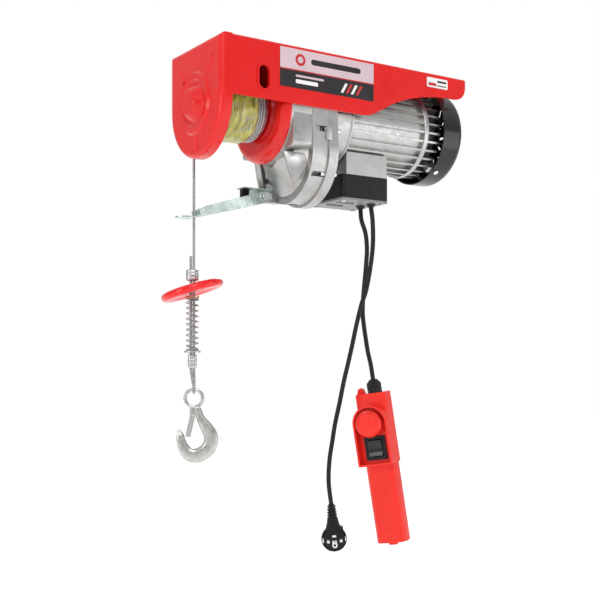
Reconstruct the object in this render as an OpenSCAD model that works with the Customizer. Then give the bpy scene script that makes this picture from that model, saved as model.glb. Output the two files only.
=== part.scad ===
// Mini electric wire-rope hoist: sheet frame, geared motor, rope drum, hook block, pendant and lead.
// Millimetres. Origin: centre of the four clamp-bolt holes, on the frame's top face.
// +X runs along the drum and motor towards the fan, +Z is up, -Y is the label side.

/* [Frame] */
// Overall length, from the end cover's face to the open end
frame_len = 440; // [420:5:480]
// Width over the side panels
frame_w = 152; // [152:2:170]
// Sheet thickness of the pressed parts
sheet_t = 3; // [2:0.5:4]
// Depth of the side panels at the drum end
side_h = 82; // [78:1:84]
// Distance between the clamp bolts along the hoist
clamp_dx = 180; // [140:10:200]
// Distance between the clamp bolts across the hoist
clamp_dy = 104; // [96:2:112]
// Radius of the clamp bolt holes
clamp_hole_r = 5.5; // [4:0.5:6]

/* [Drive] */
// Depth of the drum and motor axis below the top face
axis_depth = 83; // [82:0.5:86]
// Distance from the motor axis down to the intermediate shaft
gear_centres = 55; // [55:0.5:56]
// Radius of the rope's centreline in the outer layer
lay_r = 45; // [44:0.5:46]
// Rope diameter
rope_d = 4; // [3:0.5:4]
// Outer radius of the motor's cooling fins
fin_r = 66; // [62:1:67]
// Number of cooling fins
fin_count = 30; // [24:2:36]

/* [Hook block] */
// Height of the hook eye's centre
eye_z = -499; // [-520:1:-490]
// Diameter of the round stop disc
disc_d = 93; // [80:1:96]
// Tilt of the stop disc on the rope
disc_tilt = 17; // [0:1:18]

/* [Pendant and cables] */
// Cable diameter
cable_d = 7; // [6:0.5:8]
// Tilt of the hanging pendant
pendant_tilt = 8.5; // [0:0.5:12]
// Diameter of the mushroom stop button
stop_d = 42; // [36:1:44]

/* [Hidden] */
$fn = 64;

red = [0.80, 0.08, 0.07];
cast = [0.72, 0.73, 0.74];
steel = [0.62, 0.63, 0.65];
black = [0.06, 0.06, 0.07];
zinc = [0.66, 0.74, 0.74];
copper = [0.72, 0.42, 0.25];

half_l = frame_len / 2;
half_w = frame_w / 2;
ax_z = -axis_depth;
int_z = ax_z - gear_centres;
clear = 0.3;

// Stations along X
cover_depth = 18;
cover_end = -half_l + cover_depth;
plate_x0 = -120;
case_x0 = -103;
case_x1 = -33;
bell_x1 = 10;
stator_x1 = 150;
shield_x1 = 178;
fan_cover_x1 = 221;

// ---------- helpers ----------

// A flat outline in (y, z), extruded along +X from x0
module along_x(x0, len) translate([x0, 0, 0]) rotate([90, 0, 90]) linear_extrude(len) children();

// An outline in (x, z), extruded along +Y from y0
module along_y(y0, len) translate([0, y0 + len, 0]) rotate([90, 0, 0]) linear_extrude(len) children();

// A profile of [radius, x] points turned about the X axis at height z
module revolve_x(z, pts) translate([0, 0, z]) rotate([0, 90, 0]) rotate_extrude($fn = 96) polygon(pts);

// A tube along X
module tube_x(z, x0, x1, r_out, r_in = 0) revolve_x(z, [[r_in, x0], [r_out, x0], [r_out, x1], [r_in, x1]]);

// Turned about the motor axis, so that +Z points outward at this angle from +Y
module radial(angle) translate([0, 0, ax_z]) rotate([angle - 90, 0, 0]) children();

// Points of an arc, centre c, radius r, from angle a0 to a1
function arc(c, r, a0, a1, n = 8) =
  [for (i = [0:n]) let (a = a0 + (a1 - a0) * i / n) [c[0] + r * cos(a), c[1] + r * sin(a)]];

function bezier(a, b, c, d, n = 12) =
  [for (i = [0:n]) let (t = i / n, s = 1 - t) s*s*s*a + 3*s*s*t*b + 3*s*t*t*c + t*t*t*d];

// Outline round the motor axis and the intermediate axis, in (y, z); its upper part clears the side panels
module gear_outline(r) {
  top_r = min(r, half_w - sheet_t - 0.5);
  translate([0, ax_z]) circle(top_r);
  translate([0, int_z]) circle(r);
  polygon([[-top_r, ax_z], [top_r, ax_z], [r, int_z], [-r, int_z]]);
}

// ---------- swept tubes ----------

function unit(v) = v / norm(v);

// Catmull-Rom point between p[i] and p[i + 1]
function spline_at(p, i, t) =
  let (n = len(p), a = p[max(i - 1, 0)], b = p[i], c = p[min(i + 1, n - 1)], d = p[min(i + 2, n - 1)])
  0.5 * (2*b + (c - a)*t + (2*a - 5*b + 4*c - d)*t*t + (3*b - a - 3*c + d)*t*t*t);

// A smooth line through the points, steps rings to each span
function smooth(p, steps) =
  concat([for (i = [0:len(p) - 2], k = [0:steps - 1]) spline_at(p, i, k / steps)], [p[len(p) - 1]]);

function tangent(p, i) = unit(p[min(i + 1, len(p) - 1)] - p[max(i - 1, 0)]);

// Side vectors carried along the line, so that the tube never twists
function sides(p, i = 0, acc = []) =
  i == len(p) ? acc :
  let (t = tangent(p, i), last = i == 0 ? [0.83, -0.55, 0.05] : acc[i - 1], s = unit(last - (last * t) * t))
  sides(p, i + 1, concat(acc, [s]));

function ring_points(p, r, count) =
  let (s = sides(p))
  [for (i = [0:len(p) - 1]) let (t = tangent(p, i), u = s[i], v = cross(t, u))
    for (k = [0:count - 1]) let (a = 360 * k / count) p[i] + r * (cos(a) * u + sin(a) * v)];

// A tube of radius r with count sides along line p
module sweep(p, r, count = 8) {
  n = len(p);
  wall = [for (i = [0:n - 2], k = [0:count - 1])
    let (k2 = (k + 1) % count) each [
      [i * count + k, i * count + k2, (i + 1) * count + k2],
      [i * count + k, (i + 1) * count + k2, (i + 1) * count + k]
    ]];
  start = [[for (k = [count - 1:-1:0]) k]];
  finish = [[for (k = [0:count - 1]) (n - 1) * count + k]];
  polyhedron(ring_points(p, r, count), concat(start, [for (f = wall) [f[0], f[1], f[2]]], finish));
}

// ---------- gears ----------

function inv_x(rb, t) = rb * sqrt(1 + (t * PI / 180) * (t * PI / 180));
function inv_a(t) = t - atan(t * PI / 180);

// Spur gear outline with a 25 degree pressure angle, stub teeth and running backlash
module gear_profile(teeth, module_mm, phase = 0) {
  pa = 25;
  backlash = 0.32;
  rp = teeth * module_mm / 2;
  rb = rp * cos(pa);
  ra = rp + 0.8 * module_mm;
  rr = rp - 1.05 * module_mm;
  half = 90 / teeth - backlash / rp / 2 * 180 / PI + (tan(pa) * 180 / PI - pa);
  t_top = sqrt(ra * ra / (rb * rb) - 1) * 180 / PI;
  t_low = rr > rb ? sqrt(rr * rr / (rb * rb) - 1) * 180 / PI : 0;
  flank = [for (i = [0:4]) let (t = t_low + (t_top - t_low) * i / 4) [inv_x(rb, t), half - inv_a(t)]];
  pts = [for (k = [0:teeth - 1]) let (c = phase + 360 * k / teeth) each concat(
    [[rr, c - half + inv_a(t_low)]],
    [for (f = flank) [f[0], c - f[1]]],
    [for (i = [4:-1:0]) [flank[i][0], c + flank[i][1]]],
    [[rr, c + half - inv_a(t_low)]]
  )];
  polygon([for (q = pts) [q[0] * cos(q[1]), q[0] * sin(q[1])]]);
}

module gear_x(z, x0, width, teeth, module_mm, bore, phase)
  along_x(x0, width) translate([0, z]) difference() {
    gear_profile(teeth, module_mm, phase);
    circle(bore);
  }

big_teeth = 44;
small_teeth = 11;
wheel_teeth = 76;
motor_teeth = 12;
drive_module = 2;
motor_module = 1.25;

// ---------- frame ----------

panel_end_r = 20;
panel_rise = bezier([22, -side_h], [52, -side_h], [70, -40], [184, -34]);
panel_outline = concat(
  [[cover_end, 0], [cover_end, -side_h]],
  panel_rise,
  arc([half_l - panel_end_r, -14], panel_end_r, -90, 0),
  [[half_l, 0]]
);
edge_r = 4;

module channel_profile(inset, top) {
  w = half_w - inset;
  r = edge_r - inset;
  polygon(concat(
    [[-w, -90], [w, -90]],
    arc([w - r, top - r], r, 0, 90, 6),
    arc([-w + r, top - r], r, 90, 180, 6)
  ));
}

slot_x = -152;
slot_top = -36;
slot_low = -68;
slot_r = 8;
module slot_shape(r) {
  translate([slot_x, slot_top - slot_r]) circle(r);
  translate([slot_x, slot_low + slot_r]) circle(r);
  translate([slot_x - r, slot_low + slot_r]) square([2 * r, slot_top - slot_low - 2 * slot_r]);
}

screw_pads = [[-68, 24], [-12, 24]];
screw_r = 4;

module frame_channel() color(red) difference() {
  union() {
    intersection() {
      along_x(cover_end, half_l - cover_end) difference() {
        channel_profile(0, 0);
        channel_profile(sheet_t, -sheet_t);
      }
      along_y(-half_w - 1, frame_w + 2) polygon(panel_outline);
    }
    // Pressed lips round the two side slots
    for (s = [-1, 1]) along_y(s > 0 ? half_w : -half_w - 1.5, 1.5) difference() {
      slot_shape(slot_r + 3.5);
      slot_shape(slot_r + 0.5);
    }
  }
  along_y(-half_w - 5, frame_w + 10) slot_shape(slot_r);
  for (x = [-1, 1], y = [-1, 1])
    translate([x * clamp_dx / 2, y * clamp_dy / 2, -10]) cylinder(r = clamp_hole_r, h = 20);
  for (p = screw_pads, y = [-1, 1]) translate([p[0], y * p[1], -10]) cylinder(r = screw_r, h = 20);
}

// The end cover is one deep dish: square above the axis, round below it
module cover_body(inset, x1) {
  r = half_w - inset;
  e = 7 - inset * 0.6;
  x0 = -half_l + inset;
  revolve_x(ax_z, concat([[0, x1], [0, x0]], arc([r - e, x0 + e], e, -90, 0, 6), [[r, x1]]));
  intersection() {
    translate([0, 0, ax_z]) linear_extrude(axis_depth - inset)
      polygon(concat([[x1, r], [x1, -r]],
        arc([x0 + e, -r + e], e, 270, 180, 6), arc([x0 + e, r - e], e, 180, 90, 6)));
    along_y(-r - 1, 2 * r + 2)
      polygon(concat([[x1, ax_z - 1], [x0, ax_z - 1]],
        arc([x0 + e, -inset - e], e, 180, 90, 6), [[x1, -inset]]));
  }
}

boss_x = -232.5;
bearing_r = 16;
axle_r = 7.5;

module cover_boss(t) revolve_x(ax_z, concat(
  [[0, -half_l + 2], [0, boss_x + t]],
  arc([16 - t, boss_x + 3 + t * 0.4], 3 - t * 0.4, -90, -30, 4),
  [[26 - t, -half_l - 1.5], [30 - t, -half_l + 2]]
));

module cover_rib(angle, r0, r1) translate([-half_l + 3, 0, ax_z]) rotate([angle, 0, 0])
  translate([0, 0, r0]) cylinder(r = 5, h = r1 - r0, $fn = 32);

module end_cover() color(red) {
  difference() {
    union() {
      difference() {
        union() {
          cover_body(0, cover_end);
          cover_boss(0);
          // Raised ring round the boss
          revolve_x(ax_z, [[30, -half_l + 1], [34, -half_l - 2.5], [41, -half_l - 3], [46, -half_l + 1]]);
        }
        difference() {
          cover_body(sheet_t, cover_end + 1);
          for (a = [-42, 42]) cover_rib(a, 48, 78);
          cover_rib(180, 48, 66);
        }
      }
      for (a = [-42, 42]) cover_rib(a, 48, 78);
      cover_rib(180, 48, 66);
      tube_x(ax_z, -219, -208, 27, bearing_r);
    }
    intersection() {
      cover_boss(sheet_t);
      tube_x(ax_z, boss_x, -219, 40);
    }
    tube_x(ax_z, -220, -207, bearing_r);
  }
}

module name_labels() {
  label_t = 0.4;
  color([0.25, 0.25, 0.26]) translate([-126, -half_w - label_t, -60]) cube([164, label_t, 55]);
  color([0.9, 0.9, 0.9]) translate([141, -half_w - label_t, -22]) cube([42, label_t, 15]);
}

plate_r = 72.5;
module drum_plate() color(red) revolve_x(ax_z, concat(
  [[24, plate_x0]],
  arc([plate_r - 14, plate_x0 + 14], 14, -90, 0, 8),
  [[plate_r, case_x0 - clear], [plate_r - sheet_t, case_x0 - clear]],
  arc([plate_r - 14, plate_x0 + 14], 11, 0, -90, 8),
  [[40, plate_x0 + 3], [40, case_x0], [24, case_x0]]
));

// ---------- gear case and motor castings ----------

boss_r = 20;
flange_r = 76;
flange_t = 8;
wall = 6;
bolt_ring = 68;
lower_bolts = [-90, -30, -150];
upper_bolts = [25, 155];
bolt_spots = concat(
  [for (a = lower_bolts) [bolt_ring * cos(a), int_z + bolt_ring * sin(a)]],
  [for (a = upper_bolts) [bolt_ring * cos(a), ax_z + bolt_ring * sin(a)]],
  [for (s = [-1, 1]) [s * bolt_ring, (ax_z + int_z) / 2]]
);
bolt_r = 3;

module at_bolts(x0, len, r) for (p = bolt_spots) along_x(x0, len) translate(p) circle(r);

int_bearing_r = 11;
int_axle_r = 7;
case_bearing_x = -104;
lever_pin_at = [-88, 40, -199];
lever_pin_r = 3;
lug_w = 14;
lug_top = -188;
cavity_r = 60;

// Pads under the frame's top plate, one each side, and their screw holes
module mounting_pads(at) for (s = [-1, 1]) translate([at[0] - 12, s * at[1] - 10, -30]) cube([24, 20, 27]);
module pad_holes(at) for (s = [-1, 1]) translate([at[0], s * at[1], -18]) cylinder(r = 3, h = 20);

module gearcase() color(cast) difference() {
  union() {
    tube_x(ax_z, case_x0, -68, 72);
    tube_x(int_z, case_x0, -80, boss_r);
    // The lower lobe swells from the boss to the flange
    translate([-96, 0, int_z]) rotate([0, 90, 0]) cylinder(r1 = boss_r + 4, r2 = 70, h = 34);
    along_x(-68, 27) gear_outline(73);
    along_x(case_x1 - flange_t, flange_t) gear_outline(flange_r);
    // Lug for the limit lever's bracket
    along_y(lever_pin_at[1] - lug_w / 2, lug_w) polygon(concat(
      arc([lever_pin_at[0], lever_pin_at[2]], 6, 270, 180, 5),
      [[lever_pin_at[0] - 6, lug_top], [-55, lug_top], [-55, lever_pin_at[2] - 6]]));
    mounting_pads(screw_pads[0]);
    translate([case_x0 + 2, -4, -176]) cube([30, 8, 24]);
  }
  tube_x(ax_z, case_x0 + wall, case_x1 + 1, cavity_r);
  intersection() {
    along_x(-78, 60) gear_outline(cavity_r);
    translate([-92, 0, int_z]) rotate([0, 90, 0]) cylinder(r1 = 16, r2 = 100, h = 62);
  }
  tube_x(int_z, -91.5, -70, 15);
  tube_x(int_z, case_x0 + 3, -90, int_bearing_r);
  tube_x(ax_z, case_bearing_x, -90, bearing_r);
  at_bolts(-60, 40, bolt_r);
  // Flats cut into the outside, where the bolt heads sit
  for (p = bolt_spots) along_x(-64, 23) translate(p) circle(6.2);
  pad_holes(screw_pads[0]);
  translate([lever_pin_at[0], lever_pin_at[1] + 20, lever_pin_at[2]]) rotate([90, 0, 0])
    cylinder(r = lever_pin_r, h = 40);
}

module motor_bell() color(cast) difference() {
  union() {
    along_x(case_x1, flange_t) gear_outline(flange_r);
    tube_x(ax_z, case_x1 + flange_t, bell_x1, fin_r);
    tube_x(int_z, case_x1, -13, 18);
    mounting_pads(screw_pads[1]);
  }
  tube_x(ax_z, -19, bell_x1 + 1, 58);
  tube_x(ax_z, -30, -18, 17.5);
  tube_x(ax_z, case_x1 - 1, -29, 12);
  tube_x(int_z, case_x1 - 1, -20, int_bearing_r);
  at_bolts(case_x1 - 1, 20, bolt_r);
  pad_holes(screw_pads[1]);
}

module fins(x0, x1, r0, r1, t) for (k = [0:fin_count - 1])
  radial(90 + 360 * k / fin_count) translate([x0, -t / 2, r0]) cube([x1 - x0, t, r1 - r0]);

box_x0 = 3;
box_x1 = 90;
box_y0 = -46;
box_y1 = 44;
box_top = -165;
box_low = -200;

module stator_housing() color(cast) difference() {
  union() {
    tube_x(ax_z, bell_x1, stator_x1, 60);
    fins(bell_x1 + 1, stator_x1 - 1, 56, fin_r, 3.2);
    translate([bell_x1 + 2, box_y0 + 2, box_top]) cube([box_x1 - bell_x1 - 4, box_y1 - box_y0 - 4, 34]);
  }
  tube_x(ax_z, bell_x1 - 1, stator_x1 + 1, 50);
  // Cable passage into the terminal box
  translate([50, 0, box_top - 1]) cylinder(r = 10, h = 40);
}

module stator_core() color(steel) tube_x(ax_z, 40, 120, 50, 32.6);

module stator_windings() color(copper) for (x = [22, 120]) tube_x(ax_z, x, x + 18, 48, 35);

fan_cover_r = 75;
fan_cover_t = 2;
lug_r = fan_cover_r - fan_cover_t - clear;
cover_screw_x = 186;
screw_angles = [54, 126, 234, 306];

module rear_shield() color(cast) difference() {
  union() {
    tube_x(ax_z, stator_x1, shield_x1, 52, 46);
    tube_x(ax_z, stator_x1, stator_x1 + 5, 62, 46);
    fins(stator_x1, shield_x1, 49, fin_r - 0.5, 3);
    tube_x(ax_z, 168, shield_x1, 52, 15);
    tube_x(ax_z, 157, 172, 20, bearing_r);
    for (a = screw_angles) radial(a) {
      translate([170, -5, 50]) cube([8, 10, lug_r - 50]);
      translate([170, -5, 60]) cube([24, 10, lug_r - 60]);
    }
  }
  tube_x(ax_z, 156, 170, bearing_r);
  for (a = screw_angles) radial(a) translate([cover_screw_x, 0, 58]) cylinder(r = 2, h = 20);
}

module fan_cover() color(black) difference() {
  revolve_x(ax_z, concat(
    [[0, fan_cover_x1]],
    arc([fan_cover_r - 14, fan_cover_x1 - 14], 14, 90, 0, 8),
    [[fan_cover_r, shield_x1 + clear], [fan_cover_r - fan_cover_t, shield_x1 + clear]],
    arc([fan_cover_r - 14, fan_cover_x1 - 14], 14 - fan_cover_t, 0, 90, 8),
    [[0, fan_cover_x1 - fan_cover_t]]
  ));
  // Air slots in the end, in two rings
  for (k = [0:15]) radial(360 * k / 16) translate([fan_cover_x1 - 10, -1.8, 30]) cube([20, 3.6, 20]);
  for (k = [0:7]) radial(360 * k / 8) translate([fan_cover_x1 - 10, -1.8, 12]) cube([20, 3.6, 13]);
  for (a = screw_angles) radial(a) translate([cover_screw_x, 0, 60]) cylinder(r = 2.2, h = 20);
}

module brake_magnet() color(steel) tube_x(ax_z, stator_x1, 168, 44, 22);

module bearing_x(z, x0, x1, r_out, r_in) color(steel) tube_x(z, x0, x1, r_out, r_in);

module motor_bearings() {
  bearing_x(ax_z, -29, -19, 17.5, 8);
  bearing_x(ax_z, 159, 168, bearing_r, 7);
}

module intermediate_bearings() {
  bearing_x(int_z, -100, -92, int_bearing_r, int_axle_r);
  bearing_x(int_z, -32, -24, int_bearing_r, int_axle_r);
}

running = 0.05;
module drum_bearings() {
  bearing_x(ax_z, -219, -210, bearing_r, axle_r + running);
  bearing_x(ax_z, -103, -94, bearing_r, axle_r + running);
}

// Screws with a socket head; the head faces -X
module gearcase_bolts() color(steel) for (p = bolt_spots) {
  along_x(-41, 22) translate(p) circle(bolt_r);
  along_x(-47, 6) translate(p) difference() {
    circle(5);
    circle(2.6, $fn = 6);
  }
}

module frame_screws() color(steel) for (p = screw_pads, y = [-1, 1]) translate([p[0], y * p[1], 0]) {
  translate([0, 0, -17]) cylinder(r = 3, h = 17);
  difference() {
    cylinder(r = 6.5, h = 5, $fn = 6);
    translate([0, 0, 4]) cylinder(r = 3, h = 2);
  }
}

module cover_screws() color(steel) {
  for (a = screw_angles) radial(a) translate([cover_screw_x, 0, 0]) {
    translate([0, 0, 62]) cylinder(r = 2, h = fan_cover_r - 61.5);
    translate([0, 0, fan_cover_r + 0.1]) cylinder(r = 3.8, h = 2.4);
  }
  for (x = [box_x0 + 8, box_x1 - 8], y = [box_y0 + 8, box_y1 - 8]) translate([x, y, box_low - 3]) {
    cylinder(r = 2, h = 14);
    translate([0, 0, -2.4]) cylinder(r = 3.8, h = 2.4);
  }
}

// ---------- terminal box ----------

box_wall = 2.5;
pendant_exit = [68, -4];
mains_exit = [70, -28];

module box_outline(inset) {
  r = 5 - inset * 0.8;
  x0 = box_x0 + inset;
  y0 = box_y0 + inset;
  x1 = box_x1 - inset;
  y1 = box_y1 - inset;
  polygon(concat(
    arc([x1 - r, y0 + r], r, -90, 0, 4), arc([x1 - r, y1 - r], r, 0, 90, 4),
    arc([x0 + r, y1 - r], r, 90, 180, 4), arc([x0 + r, y0 + r], r, 180, 270, 4)
  ));
}

module terminal_box() color(black) difference() {
  union() {
    difference() {
      translate([0, 0, box_low]) linear_extrude(box_top - box_low) box_outline(0);
      translate([0, 0, box_low - 1]) linear_extrude(box_top - box_low - box_wall + 1) box_outline(box_wall);
    }
    for (x = [box_x0 + 8, box_x1 - 8], y = [box_y0 + 8, box_y1 - 8])
      translate([x, y, box_low]) cylinder(r = 6.2, h = box_top - box_low);
  }
  translate([50, 0, box_top - 5]) cylinder(r = 10, h = 10);
  for (x = [box_x0 + 8, box_x1 - 8], y = [box_y0 + 8, box_y1 - 8])
    translate([x, y, box_low - 1]) cylinder(r = 2, h = 13);
}

module terminal_lid() color([0.35, 0.35, 0.36]) difference() {
  union() {
    translate([0, 0, box_low - 3]) linear_extrude(3) box_outline(0);
    for (s = [-1, 1]) translate([28, -5 + s * 14, box_low - 4]) cube([30, 3, 2], center = true);
  }
  for (p = [pendant_exit, mains_exit]) translate([p[0], p[1], box_low - 5]) cylinder(r = 6, h = 10);
  for (x = [box_x0 + 8, box_x1 - 8], y = [box_y0 + 8, box_y1 - 8])
    translate([x, y, box_low - 5]) cylinder(r = 2.2, h = 10);
}

module capacitor() color([0.85, 0.85, 0.82]) tube_x(-182, 12, 58, 13);

module cable_grommets() color(black) for (p = [pendant_exit, mains_exit]) translate(p) difference() {
  union() {
    translate([0, 0, box_low - 8]) cylinder(r1 = cable_d / 2 + 1.2, r2 = 8, h = 5);
    translate([0, 0, box_low - 3]) cylinder(r = 6, h = 5);
  }
  translate([0, 0, box_low - 12]) cylinder(r = cable_d / 2, h = 20);
}

// ---------- limit lever ----------

lever_droop = 14.5;
lever_w = 28;
lever_t = 1.6;
lever_floor = -7;
arm_end = -113;
web_end = -125;
tongue = 8;
rope_slot = [-119, -36];
rope_slot_r = 8;

module limit_lever() color(zinc) translate(lever_pin_at) rotate([0, -lever_droop, 0]) difference() {
  union() {
    // Side walls, tapering towards the rope, each with an upright ear
    for (s = [-1, 1]) along_y(s > 0 ? lever_w / 2 - lever_t : -lever_w / 2, lever_t) polygon([
      [12, lever_floor], [12, 3], [6, 8], [-12, 8], [-14, 15], [-24, 15], [-26, 7.5], [-86, 5],
      [arm_end, 0.5], [arm_end, lever_floor]
    ]);
    translate([web_end, -lever_w / 2, lever_floor - lever_t]) cube([-web_end, lever_w, lever_t]);
    // The tongue beyond the side walls turns level again
    translate([web_end, 0, lever_floor - lever_t]) rotate([0, lever_droop, 0]) {
      translate([-tongue, -lever_w / 2, 0]) cube([tongue + 1, lever_w, lever_t]);
      translate([-tongue, 0, 0]) cylinder(r = lever_w / 2, h = lever_t);
    }
  }
  // Long slot that the rope moves along as it winds
  for (x = rope_slot) translate([x, 4, lever_floor - 4]) cylinder(r = rope_slot_r, h = 8);
  translate([rope_slot[0], 4 - rope_slot_r, lever_floor - 4])
    cube([rope_slot[1] - rope_slot[0], 2 * rope_slot_r, 8]);
  translate([0, 20, 0]) rotate([90, 0, 0]) cylinder(r = lever_pin_r + running, h = 40);
}

// Plate on the lug that carries the limit switch over the lever
module lever_bracket() color(zinc) difference() {
  translate([-122, lever_pin_at[1] - 10, lug_top]) cube([49, 20, 2]);
  translate([-80, lever_pin_at[1], lug_top - 1]) cylinder(r = 2.2, h = 4);
}

module lever_pin() color(steel) translate([lever_pin_at[0], lever_pin_at[1] + 16, lever_pin_at[2]])
  rotate([90, 0, 0]) {
    cylinder(r = lever_pin_r, h = 32);
    translate([0, 0, 32]) cylinder(r = 5, h = 2);
    translate([0, 0, -2]) cylinder(r = 5, h = 2);
  }

module limit_switch() color(black) translate([0, lever_pin_at[1], lug_top]) {
  translate([-121, -4, -14]) cube([20, 8, 14]);
  translate([-111, 0, -17.5]) cylinder(r = 1.5, h = 4);
}

// ---------- drum ----------

drum_x0 = -202;
drum_x1 = -123;
core_r = 30;
film_x = -141;
turns = 13;
bare_turns = 4;
bare_r = 42;

module drum() color(steel) revolve_x(ax_z, [
  [axle_r, drum_x0], [48, drum_x0], [48, drum_x0 + 2], [core_r, drum_x0 + 2],
  [core_r, drum_x1 - 3], [40, drum_x1 - 3], [40, drum_x1], [axle_r, drum_x1]
]);

module rope_windings() color(steel) translate([0, 0, ax_z]) rotate([0, 90, 0]) rotate_extrude($fn = 96) {
  translate([core_r, -195]) square([lay_r - core_r, film_x + 195]);
  translate([core_r, film_x]) square([bare_r - core_r, 14]);
  for (k = [0:turns - 1]) translate([lay_r, -193 + rope_d * k]) circle(rope_d / 2, $fn = 24);
  for (k = [0:bare_turns - 1]) translate([bare_r, film_x + 1.9 + rope_d * k]) circle(rope_d / 2, $fn = 24);
}

module packing_film() color([0.78, 0.80, 0.45]) tube_x(ax_z, -192, film_x, lay_r + 3, lay_r + 2.1);

module drum_shaft() color(steel) tube_x(ax_z, -224, -66, axle_r);

drum_phase = -90;
pinion_phase = 90 + 180 / small_teeth;
wheel_phase = 90;
motor_phase = -90 + 180 / motor_teeth;

module drum_gear() color(steel) gear_x(ax_z, -91, 18, big_teeth, drive_module, axle_r, drum_phase);

module intermediate_shaft() color(steel) difference() {
  union() {
    tube_x(int_z, -99.5, -25, int_axle_r - running);
    gear_x(int_z, -91, 19, small_teeth, drive_module, 0.01, pinion_phase);
    tube_x(int_z, -72, -62, 10);
  }
}

module intermediate_gear() color(steel)
  gear_x(int_z, -62, 10, wheel_teeth, motor_module, int_axle_r, wheel_phase);

module motor_pinion() color(steel) gear_x(ax_z, -64, 13, motor_teeth, motor_module, 4, motor_phase);

module motor_shaft() color(steel) union() {
  tube_x(ax_z, -65, -50, 4);
  tube_x(ax_z, -51, -10, 8 - running);
  tube_x(ax_z, -10, 157, 10);
  tube_x(ax_z, 157, 206, 7 - running);
}

module rotor_core() color(steel) tube_x(ax_z, 44, 116, 32, 10);

module brake_disc() color([0.35, 0.3, 0.28]) tube_x(ax_z, 143, 149, 40, 10);

fan_r = 56;
module cooling_fan() color(black) difference() {
  union() {
    tube_x(ax_z, 184, 204, 14);
    tube_x(ax_z, 184, 186, fan_r);
    for (k = [0:7]) radial(45 * k + 20) translate([185, -1, 10]) cube([18, 2, fan_r - 10]);
  }
  tube_x(ax_z, 183, 205, 7 - running);
}

// ---------- rope, hook block ----------

rope_at = [-197.6, lay_r, 0];
// Turn of the hook block about the vertical
block_turn = -33.5;
module at_rope(z) translate([rope_at[0], rope_at[1], z]) rotate([0, 0, block_turn]) children();

fall_top = ax_z;
fall_low = -300;
pair = rope_d + 0.5;

module rope_fall() color(steel) at_rope(fall_low) cylinder(r = rope_d / 2, h = fall_top - fall_low);

bar_r = 2.5;
eye_r = 12.75;
loop_low = eye_z + eye_r - bar_r - 0.3 - rope_d / 2;
loop_gap = bar_r + rope_d / 2 + 0.5;
loop_route = [
  [0, 0, fall_low], [0, 0, -380], [0, 0, -440], [0, 0, -456], [0, 4, -470], [0, loop_gap, loop_low + 9],
  [0, loop_gap * 0.85, loop_low + 2.4], [0, 0, loop_low], [0, -loop_gap * 0.85, loop_low + 2.4],
  [0, -loop_gap, loop_low + 9], [-pair / 2, -4, -470], [-pair, 0, -456], [-pair, 0, -440],
  [-pair, 0, -380], [-pair, 0, -292]
];
loop_line = smooth(loop_route, 4);

module rope_loop() color(steel) at_rope(0) sweep(loop_line, rope_d / 2, 10);

module ferrule(z, h, r) translate([0, 0, z]) difference() {
  linear_extrude(h) {
    square([pair, 2 * r], center = true);
    for (s = [-1, 1]) translate([s * pair / 2, 0]) circle(r);
  }
  for (s = [-1, 1]) translate([s * pair / 2, 0, -1]) cylinder(r = rope_d / 2, h = h + 2);
}

module rope_ferrules() color([0.8, 0.8, 0.8]) at_rope(0) translate([-pair / 2, 0, 0]) {
  ferrule(-328, 16, 7);
  ferrule(-455, 20, 4.5);
}

spring_top = -353;
spring_low = -430;
spring_r = 8.6;
wire_r = 0.9;
spring_turns = 10;
spring_line = [for (i = [0:spring_turns * 12]) let (a = 30 * i, t = i / (spring_turns * 12))
  [spring_r * cos(a), spring_r * sin(a), spring_low + wire_r + (spring_top - spring_low - 2 * wire_r) * t]];

module buffer_spring() color(steel) at_rope(0) translate([-pair / 2, 0, 0])
  sweep(spring_line, wire_r, 6);

module washer(z, r) at_rope(z) translate([-pair / 2, 0, 0]) difference() {
  cylinder(r = r, h = 2.5);
  translate([0, 0, -1]) cylinder(r = 5.2, h = 5);
}

module lower_washer() color(steel) washer(spring_low - 2.5, 12);

module upper_washer() color(copper) washer(spring_top + clear, 10);

disc_z = -342;
module stop_disc() color(red) at_rope(disc_z) translate([-pair / 2, 0, 0]) rotate([0, -disc_tilt, 0])
  rotate_extrude($fn = 96) polygon(concat(
    [[7.5, -1.5], [7.5, 2.5], [14, 3.5], [26, 2], [37, 5.4]],
    arc([disc_d / 2 - 6, 0], 6, 75, -75, 8),
    [[36, -5.2], [24, -2.4], [14, -1.5]]
  ));

// Centreline and half-thickness of the hook's body, in its own plane, from the eye to the tip
hook_route = [
  [6, -15], [10, -29], [18, -42], [24, -53], [25, -63], [21, -73], [12, -80.5],
  [2, -83.5], [-8, -80.5], [-15, -72], [-18.6, -62], [-20, -54], [-23, -45]
];
hook_half = [4.5, 6, 9, 10, 10.2, 10.4, 10.6, 10.6, 9.8, 8, 6.6, 5.2, 1.8];
hook_line = smooth(hook_route, 3);
hook_width = smooth(hook_half, 3);
hook_t = 13;
latch_at = [-1.5, -24];

// One edge of the hook's outline: its centreline moved sideways by s half-widths
function hook_edge(s) = [for (i = [0:len(hook_line) - 1])
  let (t = tangent(hook_line, i)) hook_line[i] + s * hook_width[i] * [t[1], -t[0]]];
function backwards(v) = [for (i = [len(v) - 1:-1:0]) v[i]];

module load_hook() color([0.75, 0.75, 0.75]) at_rope(eye_z) difference() {
  union() {
    rotate([90, 0, 0]) rotate_extrude() translate([eye_r, 0]) circle(bar_r, $fn = 24);
    along_y(-hook_t / 2, hook_t) polygon(concat(hook_edge(1), backwards(hook_edge(-1))));
    // Lug between the eye and the latch
    along_y(-2.5, 5) polygon([[-6, -12.2], [9, -12.2], [11, -26], [4, -20], [3, -27], [-5, -27], [-6, -20]]);
  }
  translate([latch_at[0], 5, latch_at[1]]) rotate([90, 0, 0]) cylinder(r = 1.6, h = 10);
}

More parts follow.
